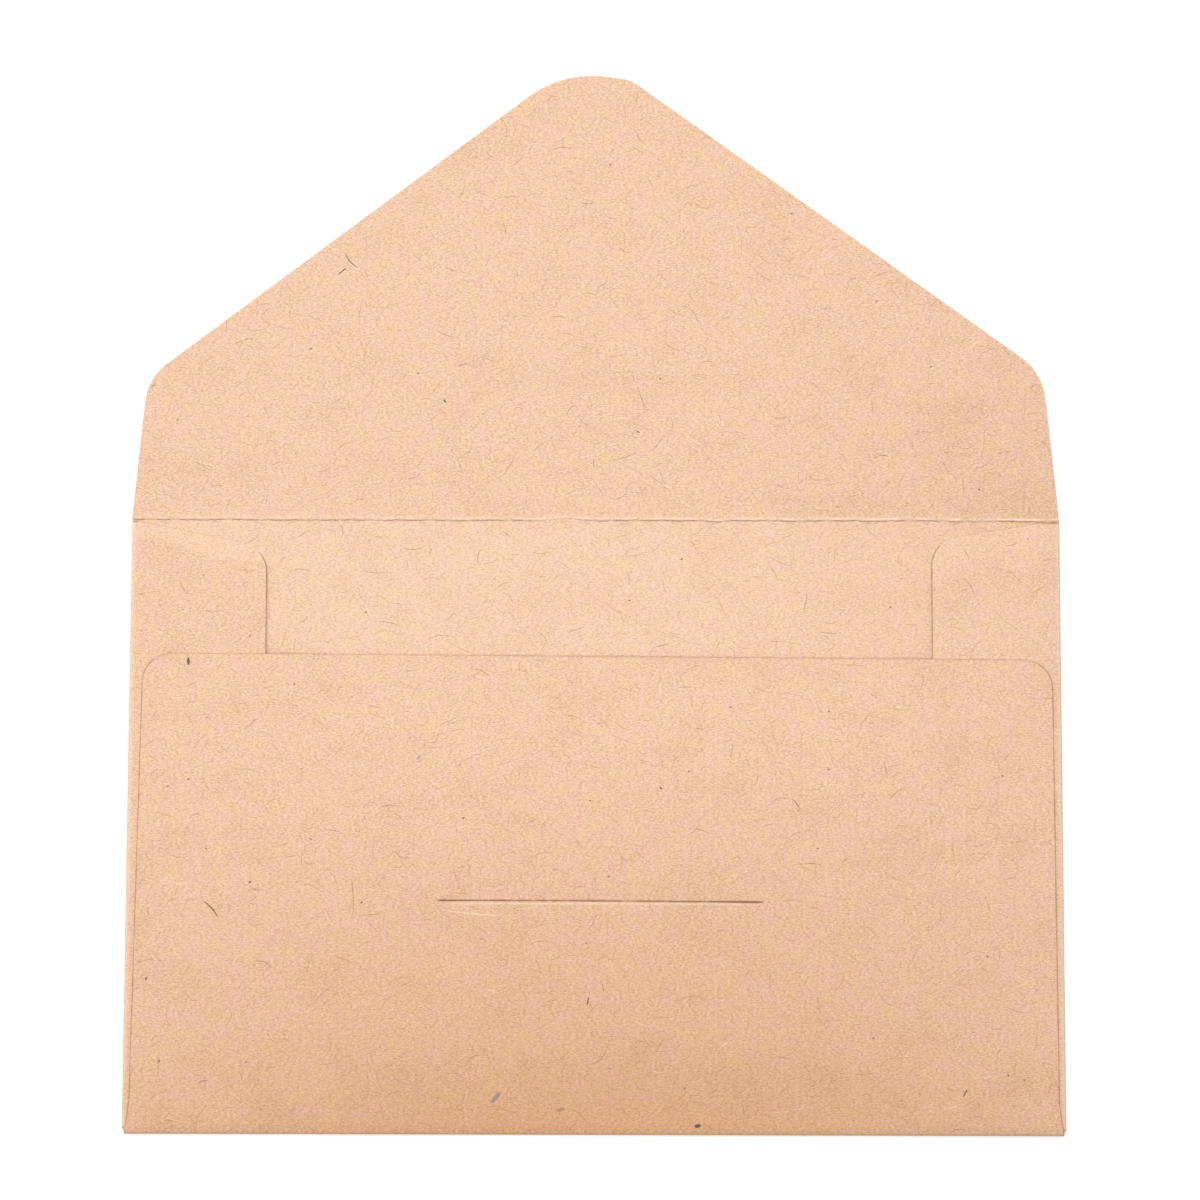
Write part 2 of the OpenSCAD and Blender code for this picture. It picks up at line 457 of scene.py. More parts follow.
def edge_keys(pairs):
    """One number for each edge, from its two points."""
    return pairs[:, 0].astype(np.int64) * 2 * below + pairs[:, 1]


cut = directed[~np.isin(edge_keys(directed), edge_keys(directed[:, ::-1]))]
face_heights = (paper_t / 2, -paper_t / 2)
slab_points = np.concatenate([np.column_stack([net, np.full(below, z)]) for z in face_heights])
rim_walls = np.stack([cut[:, 0] + below, cut[:, 1] + below, cut[:, 1], cut[:, 0]], 1)
slab_faces = triangles.tolist() + (triangles[:, ::-1] + below).tolist() + rim_walls.tolist()

blank_mesh = bpy.data.meshes.new("blank")
blank_mesh.from_pydata(slab_points * MM, [], slab_faces)
blank_mesh.polygons.foreach_set("use_smooth", np.ones(len(slab_faces), bool))
edges = np.zeros(2 * len(blank_mesh.edges), np.int32)
blank_mesh.edges.foreach_get("vertices", edges)
rings = np.sort(np.concatenate([cut, cut + below]), 1)
is_ring = np.isin(edge_keys(np.sort(edges.reshape(-1, 2), 1)), edge_keys(rings))
blank_mesh.edges.foreach_set("use_edge_sharp", is_ring)
blank = add_object("folded_sheet_blank", blank_mesh)
print("slab:", len(slab_points), "points,", len(slab_faces), "faces,", is_ring.sum(), "sharp edges")

# %% Let the blank carry its measures
fields = {"FLOAT": "value", "FLOAT_VECTOR": "vector", "FLOAT_COLOR": "color"}


def carry(name, kind, domain, values):
    """Stores one value for each point, corner or face of the blank."""
    attribute = blank_mesh.attributes.new(name, kind, domain)
    attribute.data.foreach_set(fields[kind], values.astype(np.float32).ravel())


sheet_places = slab_points.copy()
sheet_places[:, 2] = np.sign(slab_points[:, 2])
carry("on_sheet", "FLOAT_VECTOR", "POINT", sheet_places)
cut_step = 0.15
fine_cut = search_tree(np.concatenate([with_steps(line, cut_step) for line in (outline, slit_line)]))
cut_gaps = gaps_to(fine_cut, net)
carry("from_cut", "FLOAT", "POINT", np.tile(cut_gaps, 2))
carry("cut_edge", "FLOAT", "FACE", np.arange(len(slab_faces)) >= 2 * len(triangles))
print("the farthest point is", round(cut_gaps.max(), 1), "mm from a cut")

# %% [markdown]
# The marks that the eye finds first are listed one by one: brown hairs, specks of ink and umber,
# blue-grey smudges, and the pale streak under the slit. A painter would draw them on a picture
# as big as the sheet. Here each triangle of the net takes the mark nearest to it, and its
# corners keep their places in that mark's own frame: along it, across it, and how far its
# middle bows. The material then draws one bent line, which stays sharp however close one
# looks, and a thousand marks cost no more than one.

# %% The marks that show most
# For each panel and tone: x and y of both ends in millimetres on the finished envelope, half
# the mark's width, and how far its middle bows out to the left.
marks = {
    ("flap", "ink"): [
        (-43.6, 151.7, -41, 148.7, 0.1, -0.5), (-44.8, 147.5, -43.2, 148.8, 0.12, 0),
    ],
    ("flap", "blue_grey"): [(-23.9, 131.5, -22.1, 132.1, 0.14, 0.1)],
    ("flap", "brown"): [
        (-76.8, 128, -76.5, 128.2, 0.2, 0), (-72.5, 122.1, -72.2, 122.3, 0.2, 0),
        (15.7, 142, 17.8, 138.8, 0.08, 0.5), (7.1, 128.8, 9.1, 123.6, 0.08, -0.2),
        (1.7, 115.3, 8, 117.4, 0.09, -0.5), (-0.4, 115.6, -0.3, 114, 0.1, 0),
        (-8.6, 168.9, -3.4, 169.1, 0.09, 0.9), (-16.2, 156.9, -15.7, 154.2, 0.09, 0.2),
        (-17, 112, -13.9, 117.3, 0.08, -0.7),
    ],
    ("throat", "brown"): [
        (-44.2, 104.4, -43.8, 101.6, 0.09, 0.4), (-40.6, 96.4, -35.4, 96.1, 0.08, -0.5),
        (-37.6, 87.4, -33.4, 86.5, 0.09, 0.2), (-16.2, 103.1, -14.6, 101.9, 0.1, 0.1),
        (-17.5, 92.5, -14.2, 94.2, 0.08, 0.5),
    ],
    ("pocket", "umber"): [
        (-66.9, 39.4, -64, 36.2, 0.16, 0.35), (-39.8, 39, -39.6, 39.2, 0.16, 0),
        (-76.3, 25.9, -76.1, 26.3, 0.18, 0), (-73.9, 12, -73.7, 12.4, 0.15, 0),
        (11.2, 58.8, 11.4, 58.6, 0.2, 0), (33.6, 57, 35.1, 55, 0.09, 0.2), (40, 71.9, 40.2, 72, 0.14, 0),
        (38, 48.4, 38.2, 48.5, 0.14, 0), (16, 61.5, 16.2, 61.6, 0.15, 0), (-1, 23.2, -1.3, 21.7, 0.14, 0.1),
        (-58.9, 42.4, -58.6, 42.6, 0.18, 0), (-22.5, 53.4, -22.3, 53.6, 0.17, 0),
    ],
    ("pocket", "brown"): [
        (-58.4, 28.9, -54.4, 27.5, 0.1, 0.8), (-48.2, 21.6, -43.8, 25.7, 0.07, 0.1),
        (-48.4, 22.8, -45.9, 24.1, 0.07, 0), (-41.9, 44.2, -41.6, 35.3, 0.07, 0.7),
        (-67, 8.6, -65.4, 8.9, 0.16, 0.1), (29.4, 55.3, 34.7, 56, 0.07, 1.4),
        (-6.2, 4.1, -5.1, 4.3, 0.4, 0), (-4.6, 4.3, -1.1, 1.7, 0.09, 0.7),
        (-1.9, 11.8, 2.3, 15.4, 0.09, -1.3), (13, 21.3, 20.5, 21.3, 0.08, 2.1),
        (1, 26.2, 1.6, 23.6, 0.08, 0.2), (2.6, 21.5, 4.3, 19.1, 0.08, -0.2), (4.6, 5, 6.2, 3, 0.09, -0.2),
        (24.8, 5.9, 25.5, 3, 0.09, 0.2), (55.8, 78.9, 55.4, 75.4, 0.09, 0.7),
        (-37, 55.1, -32.8, 55.2, 0.09, 0.5), (11, 60.9, 11.4, 58.7, 0.07, 0.1),
    ],
    ("pocket", "ink"): [
        (-69.85, 80.8, -69.8, 79.8, 0.3, 0), (17.3, 1.5, 17.9, 1.6, 0.38, 0),
        (62.6, 6.5, 63.4, 7.8, 0.14, 0.1),
    ],
    ("pocket", "blue_grey"): [(-17.2, 5.5, -15.9, 7, 0.45, 0), (-30.4, 63.5, -29.9, 64.1, 0.18, 0)],
    ("side", "umber"): [(-61.6, 101.1, -61.4, 101.5, 0.18, 0)],
    ("side", "ink"): [(74.5, 101.8, 74.6, 101.8, 0.11, 0)],
    ("side", "brown"): [
        (-71.5, 95, -69.2, 91.7, 0.09, -0.8), (63.1, 100.3, 64.3, 98, 0.09, 0.3),
        (62.8, 95.4, 65.4, 91.1, 0.09, 0.6),
    ],
    ("pocket", "pale"): [(-26.6, 38, -14.2, 37, 0.16, -0.3)],
    ("flap", "umber"): [(-26.2, 125.8, -26, 125.4, 0.2, 0), (7.2, 120.4, 7.5, 120.2, 0.15, 0)],
    ("throat", "umber"): [(14.8, 98.2, 15, 98.3, 0.16, 0), (5.8, 91, 6, 91.1, 0.14, 0)],
}
inner_face, outer_face = 1, -1


def spot_on(panel, x, y):
    """Where a spot on the folded envelope lies on the flat sheet."""
    if panel == "pocket":
        return np.array((x, unfold_back(y)))
    if panel == "side":
        return np.array((math.copysign(unfold_side(abs(x)), x), y))
    return np.array((x, y + crease_arc if panel == "flap" else y))


strokes = []
for (panel, tone), places in marks.items():
    sheet_face = inner_face if panel in ("flap", "throat") else outer_face
    for x0, y0, x1, y1, half_wide, bow in places:
        start, end = spot_on(panel, x0, y0), spot_on(panel, x1, y1)
        strokes.append((sheet_face, start, end, half_wide, bow * sheet_face, tone))
set_by_hand = len(strokes)
print("marks set by hand:", set_by_hand)

# %% [markdown]
# Thousands of weaker hairs lie between them in every direction, most of them level, because
# the pulp ran that way. Nobody would place those by hand, so a seeded draw strews them. A
# triangle that two marks reach takes the nearer one, but a listed mark always wins.

# %% Strew the weaker hairs
mark_tones = {
    "ink": (0.075, 0.055, 0.050, 0.9),
    "umber": (0.140, 0.070, 0.035, 0.85),
    "brown": (0.330, 0.170, 0.075, 0.65),
    "blue_grey": (0.130, 0.120, 0.130, 0.55),
    "speck": (0.150, 0.090, 0.060, 0.8),
    "pale": (0.850, 0.650, 0.500, 0.4),
    "faint": (0.430, 0.235, 0.105, 0.6),
    "fair": (0.880, 0.690, 0.520, 0.35),
}
chance = np.random.default_rng(11)
strewn = {"faint": 2800, "brown": 520, "fair": 700, "speck": 110}
speck_length, speck_half_wide = 0.25, 0.15
for tone, how_many in strewn.items():
    for _ in range(how_many):
        start = chance.uniform(lowest, highest)
        angle = chance.normal(0.0, 0.7)
        length = speck_length if tone == "speck" else chance.uniform(1.0, 4.6)
        end = start + length * np.array((math.cos(angle), math.sin(angle)))
        half_wide = speck_half_wide if tone == "speck" else chance.uniform(0.06, 0.10)
        strokes.append((chance.choice((inner_face, outer_face)), start, end, half_wide,
                        length * chance.uniform(-0.3, 0.3), tone))
print("marks and hairs:", len(strokes))

# %% Give every triangle its nearest mark
widest_gap = 1.2
search_margin = 1.5
hand_lead = 9.0
middles = net[triangles].mean(1)
middle_tree = search_tree(middles)
nearest = {sheet_face: np.full(len(triangles), np.inf) for sheet_face in (inner_face, outer_face)}
chosen = {sheet_face: np.full(len(triangles), -1) for sheet_face in (inner_face, outer_face)}
frames = []
for k, (sheet_face, start, end, half_wide, bow, tone) in enumerate(strokes):
    along = (end - start) / np.linalg.norm(end - start)
    across = np.array((-along[1], along[0]))
    half_reach = np.linalg.norm(end - start) / 2 + half_wide
    top = (start + end) / 2 + across * bow
    frames.append((top, along / half_reach, across / half_wide, bow / half_wide))
    within_reach = middle_tree.find_range((*top, 0), half_reach + search_margin)
    near = np.array([found[1] for found in within_reach], int)
    if len(near) == 0:
        continue
    share = ((middles[near] - top) @ along / half_reach).clip(-1, 1)
    on_curve = top + share[:, None] * half_reach * along - share[:, None] ** 2 * bow * across
    lead = hand_lead if k < set_by_hand else 0.0
    gap = np.linalg.norm(middles[near] - on_curve, axis=1) - lead
    better = (gap < widest_gap - lead) & (gap < nearest[sheet_face][near])
    nearest[sheet_face][near[better]] = gap[better]
    chosen[sheet_face][near[better]] = k
print("triangles with a mark:", sum(int((c >= 0).sum()) for c in chosen.values()), "of", 2 * len(triangles))

# %% Let the blank carry its marks
off_mark = 9.0
mark_places, mark_colours = [], []
for sheet_face, corner_order in ((inner_face, triangles), (outer_face, triangles[:, ::-1])):
    picked = chosen[sheet_face]
    places = np.full((len(triangles), 3, 3), off_mark)
    tones = np.zeros((len(triangles), 3, 4))
    for triangle in np.flatnonzero(picked >= 0):
        top, along, across, bow = frames[picked[triangle]]
        steps = net[corner_order[triangle]] - top
        places[triangle] = np.stack([steps @ along, steps @ across, np.full(3, bow)], 1)
        tones[triangle] = mark_tones[strokes[picked[triangle]][-1]]
    mark_places.append(places.reshape(-1, 3))
    mark_colours.append(tones.reshape(-1, 4))
wall_corners = 4 * len(rim_walls)
mark_places.append(np.full((wall_corners, 3), off_mark))
mark_colours.append(np.zeros((wall_corners, 4)))
carry("mark_place", "FLOAT_VECTOR", "CORNER", np.concatenate(mark_places))
carry("mark_tone", "FLOAT_COLOR", "CORNER", np.concatenate(mark_colours))
print("the blank carries", [a.name for a in blank_mesh.attributes if not a.is_internal])

# %% [markdown]
# Node trees get long, so a small helper writes them as sums. A wire is the end of a lead in
# a node tree: adding or multiplying two wires puts down a Math node and gives its output.

# %% Wires that can be added and multiplied
class Wire:
    """One output of a node tree. Sums on it make Math nodes."""

    def __init__(self, tree, socket):
        self.tree, self.socket = tree, socket

    def calc(self, operation, *values):
        """A Math node with this wire first."""
        return put(self.tree, "ShaderNodeMath", [self, *values], operation=operation)

    def less_from(self, start):
        """start minus this wire."""
        return put(self.tree, "ShaderNodeMath", [start, self], operation="SUBTRACT")

    def ramp(self, start, end, low=0.0, high=1.0):
        """A soft step from low to high while this wire goes from start to end."""
        values = {"Value": self, "From Min": start, "From Max": end, "To Min": low, "To Max": high}
        return put(self.tree, "ShaderNodeMapRange", values, interpolation_type="SMOOTHSTEP")

    def bell(self, width):
        """1 where this wire is 0, falling off on both sides over about that width."""
        ratio = self / width
        return (ratio * ratio * -1.0).calc("EXPONENT")


# What each sign and word between wires stands for. above and below give 1 or 0.
math_nodes = {
    "ADD": ("__add__", "__radd__"), "SUBTRACT": ("__sub__",), "MULTIPLY": ("__mul__", "__rmul__"),
    "DIVIDE": ("__truediv__",), "ABSOLUTE": ("unsigned",), "MAXIMUM": ("larger",),
    "MINIMUM": ("smaller",), "GREATER_THAN": ("above",), "LESS_THAN": ("below",),
    "SINE": ("sine",), "COSINE": ("cosine",), "FRACT": ("fraction",),
}
for operation, words in math_nodes.items():
    for word in words:
        setattr(Wire, word, partialmethod(Wire.calc, operation))


def plug(tree, socket, value):
    """Joins a wire to an input, or sets the input's own value."""
    if isinstance(value, Wire):
        tree.links.new(value.socket, socket)
    else:
        socket.default_value = value


def put(tree, kind, values=(), out=0, **settings):
    """Puts a node down, fills its inputs by place or by name, and gives one output as a wire."""
    node = tree.nodes.new(kind)
    for name, value in settings.items():
        setattr(node, name, value)
    for place, value in values.items() if isinstance(values, dict) else enumerate(values):
        plug(tree, node.inputs[place], value)
    return Wire(tree, node.outputs[out])


def count(what, tree):
    """Prints how many nodes a tree has so far."""
    print(what + ":", len(tree.nodes), "nodes")


print("wires:", sum(len(words) for words in math_nodes.values()), "signs and words")

# %% Helpers for vectors and node groups
def vector(operation, *values):
    """One Vector Math node. The second value of SCALE is the factor."""
    tree = next(value.tree for value in values if isinstance(value, Wire))
    if operation == "SCALE":
        values = {0: values[0], "Scale": values[1]}
    return put(tree, "ShaderNodeVectorMath", values, operation=operation)


def split(wire, kind="ShaderNodeSeparateXYZ"):
    """The three parts of a vector or a colour, each as a wire."""
    node = wire.tree.nodes.new(kind)
    plug(wire.tree, node.inputs[0], wire)
    return [Wire(wire.tree, socket) for socket in node.outputs]


def by_side(on_right, sizes):
    """The right one of two sizes where on_right is 1, and the left one where it is 0."""
    return on_right * (sizes["right"] - sizes["left"]) + sizes["left"]


def new_tree(name, kind, inputs, outputs, output_type="Float"):
    """An empty node group. An input is given by its value, or by its type where it has none."""
    tree = bpy.data.node_groups.new(name, kind + "NodeTree")
    for title, value in inputs.items():
        input_type = value if isinstance(value, str) else "Float" if isinstance(value, float) else "Vector"
        socket = tree.interface.new_socket(title, in_out="INPUT", socket_type="NodeSocket" + input_type)
        if input_type != value:
            socket.default_value = value
    for title in outputs:
        tree.interface.new_socket(title, in_out="OUTPUT", socket_type="NodeSocket" + output_type)
    start = tree.nodes.new("NodeGroupInput")
    finish = tree.nodes.new("NodeGroupOutput")
    return tree, {title: Wire(tree, start.outputs[title]) for title in inputs}, finish


def give_out(finish, wires):
    """Joins the named wires to the outputs of a node group."""
    for title, wire in wires.items():
        plug(wire.tree, finish.inputs[title], wire)


def place_group(tree, group, values):
    """Puts a node group down in a tree and gives its outputs by name."""
    node = tree.nodes.new("GeometryNodeGroup" if tree.type == "GEOMETRY" else "ShaderNodeGroup")
    node.node_tree = group
    for title, value in values.items():
        plug(tree, node.inputs[title], value)
    return {socket.name: Wire(tree, socket) for socket in node.outputs}


print("group helpers ready")

# %% [markdown]
# Every fold is the same rule: the sheet runs flat, then round an arc, then straight on in a
# new direction. One group works that out from the distance past the start of the bend, and
# the folding tree uses it three times, for the sides, the bottom and the crease. Simple Deform
# modifiers bend a sheet too, but each fold would need its own, held to its own panel.

# %% The bend group
bend_inputs = {"Distance": 0.0, "Radius": 0.001, "Angle": 0.0}
bend_tree, given, finish = new_tree("bend", "Geometry", bend_inputs, ("Along", "Up", "Turn"))
distance, radius, angle = given.values()
turn = (distance / radius).larger(0.0).smaller(angle)
rest = (distance - radius * angle).larger(0.0)
along = distance.smaller(0.0) + radius * turn.sine() + rest * angle.cosine()
up = radius * turn.cosine().less_from(1.0) + rest * angle.sine()
give_out(finish, {"Along": along, "Up": up, "Turn": turn})
count("bend group", bend_tree)

# %% [markdown]
# The folding tree moves each point of the slab from the flat blank to its place on the
# folded envelope. Paper is never quite flat, so the tree also gives it what the real one
# has: the pocket bows up a little, the sheet cockles, the free ends of the side flaps press
# down, a bead of pushed-up paper runs along the crease, and the lips of the slit are pressed
# in. Sculpting would give one such envelope. A tree with named sizes gives any.

# %% The folding tree: its inputs
fold_sizes = {
    "Paper thickness": paper_t * MM,
    "Side fold start": flat_x * MM,
    "Side fold radius": side_fold_r * MM,
    "Bottom fold start": flat_y * MM,
    "Bottom fold radius": bottom_fold_r * MM,
    "Crease height": body_h * MM,
    "Crease radius": crease_r * MM,
    "Flap lift": flap_lift,
    "Fold relief": fold_relief * MM,
    "Pocket bow": 0.25 * MM,
    "Pocket sag": 0.42 * MM,
    "Cockle": 0.11 * MM,
    "Cockle size": 26 * MM,
    "Flap curl": 0.45 * MM,
    "Bead height": 0.085 * MM,
    "Groove depth": 0.07 * MM,
    "End press": 0.36 * MM,
    "Edge press": 0.16 * MM,
    "Lip press": 0.06 * MM,
    "Shift": shift_y * MM,
    "Seed": 4.0,
}
fold_inputs = {"Blank": "Geometry", **fold_sizes, "Paper": "Material"}
fold_tree, given, finish = new_tree("fold_the_blank", "Geometry", fold_inputs, ["Envelope"], "Geometry")
u, v, off_sheet = split(put(fold_tree, "GeometryNodeInputPosition"))
print("folding tree:", len(fold_sizes), "sizes")

# %% The folding tree: three bends
def bend(distance, radius, angle):
    """The bend group, placed in the folding tree: how far along, how far up, how far turned."""
    sizes = dict(zip(bend_inputs, (distance, radius, angle)))
    return place_group(fold_tree, bend_tree, sizes).values()


side = u.calc("SIGN")
side_out = u.unsigned() - given["Side fold start"]
below_ears = v.below(given["Crease height"] - given["Fold relief"] * 0.8)
on_ears = below_ears.less_from(1.0)
past_side = side_out * below_ears + side_out.smaller(0.0) * on_ears
past_bottom = v.less_from(given["Bottom fold start"])
past_crease = v - given["Crease height"]

side_along, side_up, side_turn = bend(past_side, given["Side fold radius"], math.pi)
bottom_along, bottom_up, bottom_turn = bend(past_bottom, given["Bottom fold radius"], math.pi)
flap_along, flap_up, flap_turn = bend(past_crease, given["Crease radius"], given["Flap lift"])

# The ears beside the crease reach a little past the side folds' start and stay flat.
ear = side_out.larger(0.0) * on_ears
x = side * (given["Side fold start"] + side_along + ear)
y = bottom_along.less_from(given["Bottom fold start"]) + flap_along - past_crease
z = given["Paper thickness"] * 0.5 + side_up + bottom_up + flap_up

lean_x = side * side_turn.sine() * -1.0
lean_y = bottom_turn.sine() - flap_turn.sine()
upright = side_turn.cosine() * bottom_turn.cosine() * flap_turn.cosine()
count("bends placed", fold_tree)

# %% The folding tree: bow, sag and cockle
noise_to_unit = 2.6


def waves(size, seed):
    """Smooth noise from about -1 to 1 over the envelope, with swells of that size."""
    spot = put(fold_tree, "ShaderNodeCombineXYZ", [x / size, y / size, 0.0])
    values = {"Vector": spot, "W": seed, "Scale": 1.0, "Detail": 1.0}
    return (put(fold_tree, "ShaderNodeTexNoise", values, noise_dimensions="4D") - 0.5) * noise_to_unit


folded_over = (side_turn.larger(bottom_turn) / math.pi).ramp(0.5, 1.0)
across = x / (half_w * MM)
room = (across * across).less_from(1.0).larger(0.0)
above_fold = y.ramp(0.0, 45 * MM)
near_top = y.ramp(60 * MM, 81 * MM)
between_flaps = x.unsigned().ramp(56 * MM, 44 * MM)
pocket = given["Pocket bow"] * room * above_fold - given["Pocket sag"] * near_top * between_flaps
fine_share, fine_size = 0.25, 0.36
cockle = given["Cockle"] * waves(given["Cockle size"], given["Seed"])
fine_cockle = given["Cockle"] * fine_share * waves(given["Cockle size"] * fine_size, given["Seed"] + 7.0)
cockle_room = (room * 5.0).smaller(1.0) * y.ramp(0.5 * MM, 9 * MM)
body_wave = folded_over * (pocket + (cockle + fine_cockle) * cockle_room)
count("pocket waves placed", fold_tree)

# %% The folding tree: curl of the flap
on_flap = past_crease.ramp(0.0, 4 * MM)
flap_share = past_crease / (tip_h * MM)
flap_arch = (flap_share * flap_share.less_from(1.0)).larger(0.0) * 4.0
flap_droop = (across * across + 0.12) * flap_share.larger(0.0)
flap_room = flap_share.less_from(1.0).ramp(0.0, 0.12) * flap_share.ramp(0.0, 0.2)
curl = given["Flap curl"] * (flap_arch * 0.6 - flap_droop)
flap_wave = on_flap * (curl + (cockle * 1.3 + fine_cockle) * flap_room)
count("flap waves placed", fold_tree)

# %% The folding tree: bead and groove of the crease
long_wander = waves(9 * MM, given["Seed"] + 3.0) * (0.13 * MM)
short_wander = waves(2.6 * MM, given["Seed"] + 5.0) * (0.10 * MM)
kinks = (x + 5 * MM).bell(2 * MM) * (0.3 * MM) - (x - 21 * MM).bell(1.6 * MM) * (0.2 * MM)
strength = waves(6 * MM, given["Seed"] + 11.0) * 0.35 + 1.0
bead_place, bead_to_groove = 0.3 * MM, 0.38 * MM
bead_width, groove_width = 0.24 * MM, 0.17 * MM
from_bead = past_crease - (long_wander + short_wander + kinks) - bead_place
from_groove = from_bead + bead_to_groove
from_thread = from_groove / MM
bead = given["Bead height"] * strength * from_bead.bell(bead_width)
groove = given["Groove depth"] * strength * from_groove.bell(groove_width)
count("crease placed", fold_tree)

# %% The folding tree: pressed ends and slit lips
on_right = u.above(0.0)
inwards = x.unsigned().less_from(half_w * MM)
past_land = (inwards - by_side(on_right, side_land) * MM).larger(0.0)
end_line = given["Crease height"] - given["Fold relief"] - past_land * by_side(on_right, side_slope)
from_end = end_line - y
on_side_flap = (side_turn / math.pi).ramp(0.9, 1.0)
away_from_fold = inwards.ramp(1.5 * MM, 7 * MM)
end_reach, edge_reach, lip_width = 6.5 * MM, 5 * MM, 0.75 * MM
pressed_end = given["End press"] * from_end.ramp(end_reach, 0.0) * on_side_flap * away_from_fold
from_inner_edge = x.unsigned() - by_side(on_right, side_reach).less_from(half_w) * MM
above_panel = y.ramp((back_top["left"] + 0.5) * MM, (back_top["left"] + 4) * MM)
pressed_edge = given["Edge press"] * from_inner_edge.ramp(edge_reach, 0.0) * on_side_flap * above_panel

on_back = (bottom_turn / math.pi).ramp(0.9, 1.0)
from_slit = y - slit_y * MM
along_slit = (x - slit_x * MM).unsigned().ramp((slit_l / 2 + 2) * MM, (slit_l / 2 - 3) * MM)
lower_side = from_slit.below(0.0) * 0.4 + 0.6
pressed_lip = given["Lip press"] * on_back * along_slit * from_slit.bell(lip_width) * lower_side

top_face = off_sheet.above(0.0)
swell = body_wave + flap_wave - pressed_lip - pressed_edge - pressed_end
z = z + swell + bead * (top_face * 0.75 + 0.25) - groove * top_face
count("relief placed", fold_tree)

# %% The folding tree: move the points and finish
lifted = put(fold_tree, "ShaderNodeCombineXYZ", [x, y + given["Shift"], z])
normal = put(fold_tree, "ShaderNodeCombineXYZ", [lean_x, lean_y, upright])
goal = vector("ADD", lifted, vector("SCALE", normal, off_sheet))
thread_values = {"Geometry": given["Blank"], "Name": "from_thread", "Value": from_thread}
scored = put(fold_tree, "GeometryNodeStoreNamedAttribute", thread_values, data_type="FLOAT", domain="POINT")
moved = put(fold_tree, "GeometryNodeSetPosition", {"Geometry": scored, "Position": goal})
real = put(fold_tree, "GeometryNodeRealizeInstances", {"Geometry": moved})
painted = put(fold_tree, "GeometryNodeSetMaterial", {"Geometry": real, "Material": given["Paper"]})
give_out(finish, {"Envelope": painted})
count("folding tree", fold_tree)

# %% [markdown]
# Seen close, kraft paper is a felt of curled fibres, lighter and darker than their ground,
# over a soft mottling of ochre and rose. The felt could be painted, but a picture has
# one size and one place. Here each strand is a contour line of smooth noise: where the noise
# passes a level, a thin light or dark line appears, and a second noise breaks it up.
# The patterns read the place on the flat sheet in millimetres, so they follow the paper
# round every fold, and the two faces of the sheet read places far apart.

# %% A shader group for the felt of curled fibres
seed_step = (7.31, -4.17)


def sheet_noise(place, size, seed, stretch=1.0, detail=0.0):
    """Smooth flat noise around 0.5, with blobs of that size in millimetres."""
    spread = (1 / (size * stretch), 1 / size, 0)
    spot = vector("MULTIPLY_ADD", place, spread, (seed * seed_step[0], seed * seed_step[1], 0))
    values = {"Vector": spot, "Scale": 1.0, "Detail": detail}
    return put(place.tree, "ShaderNodeTexNoise", values, noise_dimensions="2D")


felt_inputs = {"Place": "Vector", "Sharpness": 7.0}
felt_tree, given, finish = new_tree("felt", "Shader", felt_inputs, ("Light", "Dark", "Grain"))
level_strands = sheet_noise(given["Place"], 0.28, 1, stretch=3.8)
cross_strands = sheet_noise(given["Place"], 0.34, 2, stretch=1.7)
fine_strands = sheet_noise(given["Place"], 0.23, 3, stretch=3.6)


def contour(noise, level, breaks):
    """A thin line where the noise passes a level, kept only where the other noise is high."""
    line = ((noise - level).unsigned() * given["Sharpness"]).less_from(1.0).larger(0.0)
    return line * breaks.ramp(0.42, 0.56)


give_out(finish, {
    "Light": contour(level_strands, 0.47, cross_strands).larger(contour(fine_strands, 0.42, level_strands)),
    "Dark": contour(cross_strands, 0.5, fine_strands).larger(contour(fine_strands, 0.58, cross_strands)),
    "Grain": sheet_noise(given["Place"], 0.21, 31, stretch=2.4) - 0.5,
})
count("felt group", felt_tree)

# %% [markdown]
# Longer fibres lie one by one on the felt. A Voronoi texture shares the sheet out in cells
# and gives each cell a middle and three chance numbers. The group draws one bent line through
# the middle, and the chances turn it, set its length and bend, or leave it out.

# %% A shader group for a layer of single fibres
fibre_inputs = {
    "Place": "Vector", "Cells per mm": 0.5, "Half length": 1.0, "Width": 0.1, "Curl": 0.5, "Share": 1.0,
    "Seed": (0, 0, 0),
}
fibre_tree, given, finish = new_tree("loose_fibres", "Shader", fibre_inputs, ("Fibre", "Shade"))
cells = vector("ADD", vector("SCALE", given["Place"], given["Cells per mm"]), given["Seed"])
voronoi = fibre_tree.nodes.new("ShaderNodeTexVoronoi")
voronoi.voronoi_dimensions = "2D"
plug(fibre_tree, voronoi.inputs["Vector"], cells)
plug(fibre_tree, voronoi.inputs["Scale"], 1.0)
lie, shape, luck = split(Wire(fibre_tree, voronoi.outputs["Color"]), "ShaderNodeSeparateColor")
away = vector("SUBTRACT", cells, Wire(fibre_tree, voronoi.outputs["Position"]))
turn = {"Vector": away, "Angle": lie * math.pi}
turned = put(fibre_tree, "ShaderNodeVectorRotate", turn, rotation_type="Z_AXIS")
along, across, _ = split(vector("DIVIDE", turned, given["Cells per mm"]))

half_length = given["Half length"] * (shape * 0.7 + 0.6)
share_along = along / half_length
wriggle = (share_along * 2.6 + luck * 6.0).sine() * 0.12
bent = given["Curl"] * half_length * ((shape - 0.5) * share_along * share_along + wriggle)
line = (across - bent).unsigned().ramp(given["Width"], given["Width"] * 0.3)
ends = share_along.unsigned().ramp(1.0, 0.6)
present = (luck * 9.0).fraction().below(given["Share"])
shade = (shape * 5.0 + luck * 3.0).fraction()
give_out(finish, {"Fibre": line * ends * present, "Shade": shade})
count("loose fibre group", fibre_tree)

